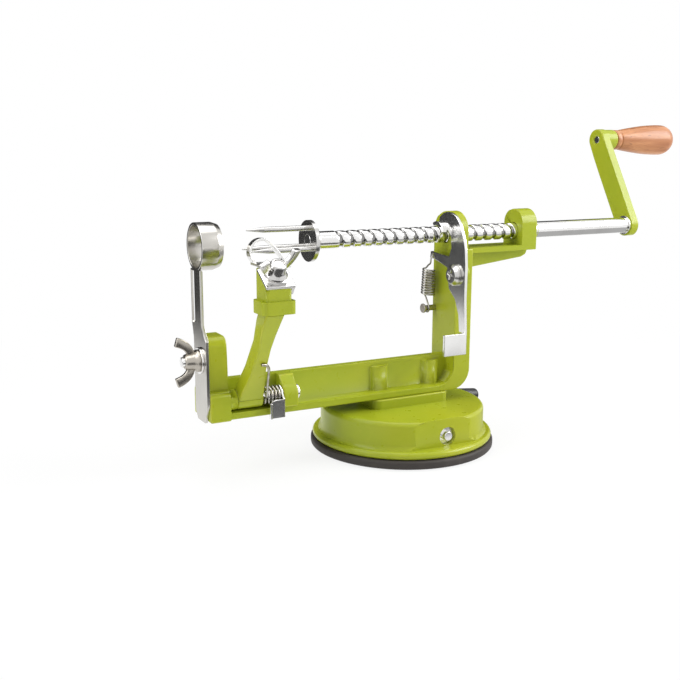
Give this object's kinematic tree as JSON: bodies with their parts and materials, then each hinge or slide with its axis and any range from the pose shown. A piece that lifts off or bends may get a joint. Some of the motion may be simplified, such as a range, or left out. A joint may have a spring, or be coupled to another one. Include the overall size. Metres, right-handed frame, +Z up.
{
  "type": "apple peeler",
  "caption": "Table-top crank apple peeler, corer and slicer: lime cast frame on a suction base, threaded feed screw with fork, sprung peeling arm, coring ring and wooden handle.",
  "frame": {"origin": "middle of the suction pad's underside, on the table", "axes": "+X along the feed screw toward the crank, +Y away from the user, +Z up"},
  "size_m": [0.346, 0.1034, 0.1727],
  "materials": {
    "lime_paint": "glossy lime enamel over a casting",
    "bright_steel": "bright plated steel",
    "plate_steel": "stamped stainless plate",
    "spring_wire": "drawn spring wire",
    "rubber": "dark moulded rubber",
    "grip_plastic": "dark dipped plastic",
    "handle_wood": "turned and lacquered wood"
  },
  "bodies": {
    "frame": {"frame_casting": "lime_paint", "base_housing": "lime_paint", "base_screws": "bright_steel", "suction_pad": "rubber", "pivot_screw": "bright_steel", "spring_stud": "bright_steel", "pull_spring": "spring_wire", "slicer_stud": "bright_steel", "slicer_washer": "bright_steel", "arm_pin": "bright_steel", "arm_spring": "spring_wire"},
    "feed": {"stop_washer": "bright_steel"},
    "crank": {"feed_screw": "bright_steel", "fruit_fork": "bright_steel", "crank_arm": "lime_paint", "handle_pin": "bright_steel"},
    "handle": {"crank_handle": "handle_wood"},
    "release": {"release_lever": "plate_steel"},
    "arm": {"peeling_arm": "lime_paint", "blade_clip": "bright_steel", "peeler_blade": "plate_steel", "blade_stud": "bright_steel"},
    "arm_nut": {"blade_nut": "bright_steel"},
    "catch": {"arm_catch": "plate_steel"},
    "slicer": {"slicer_blade": "plate_steel"},
    "post_nut": {"slicer_nut": "bright_steel"},
    "suction": {"suction_lever": "bright_steel", "lever_grip": "grip_plastic", "lever_ring": "bright_steel"},
    "stem": {"suction_stem": "bright_steel"}
  },
  "joints": [
    {"name": "screw_feed", "type": "slide", "parent": "frame", "child": "feed", "axis": [1, 0, 0], "range_m": [-0.0461, 0.0601]},
    {"name": "crank_turn", "type": "hinge", "parent": "feed", "child": "crank", "pos_m": [0, 0, 0.1132], "axis": [1, 0, 0], "range_deg": [-2607.9, 3401.6]},
    {"name": "handle_spin", "type": "hinge", "parent": "crank", "child": "handle", "pos_m": [0.19, 0.029, 0.16343], "axis": [1, 0, 0], "continuous": true},
    {"name": "release_swing", "type": "hinge", "parent": "frame", "child": "release", "pos_m": [0.0233, -0.0155, 0.093], "axis": [1, 0, 0], "range_deg": [0, 14], "stiffness_Nm_per_rad": 0.5, "springref_deg": -14.32, "deforming": ["pull_spring"]},
    {"name": "arm_swing", "type": "hinge", "parent": "frame", "child": "arm", "pos_m": [-0.0939, -0.0076, 0.038], "axis": [1, 0, 0], "range_deg": [-8, 40], "stiffness_Nm_per_rad": 0.6, "springref_deg": -1.43, "deforming": ["arm_spring"]},
    {"name": "arm_nut_turn", "type": "hinge", "parent": "arm", "child": "arm_nut", "pos_m": [-0.0933, -0.0427, 0.10357], "axis": [0, -0.5592, 0.829], "continuous": true},
    {"name": "catch_swing", "type": "hinge", "parent": "frame", "child": "catch", "pos_m": [-0.077, -0.0076, 0.038], "axis": [1, 0, 0], "range_deg": [-20, 0]},
    {"name": "slicer_slide", "type": "slide", "parent": "frame", "child": "slicer", "axis": [0, 0, 1], "range_m": [-0.002, 0.002]},
    {"name": "post_nut_turn", "type": "hinge", "parent": "frame", "child": "post_nut", "pos_m": [-0.121, -0.004, 0.0585], "axis": [-1, 0, 0], "continuous": true},
    {"name": "suction_swing", "type": "hinge", "parent": "frame", "child": "suction", "pos_m": [0.0028, 0, 0.0138], "axis": [0, -1, 0], "range_deg": [0, 75]},
    {"name": "stem_lift", "type": "slide", "parent": "frame", "child": "stem", "axis": [0, 0, 1], "range_m": [-0.00246, 0], "deforming": ["suction_pad"]}
  ],
  "couplings": [
    {"joint": "screw_feed", "follows": "crank_turn", "m_per_rad": 0.0010106},
    {"joint": "stem_lift", "follows": "suction_swing", "m_per_rad": -0.0018602}
  ]
}
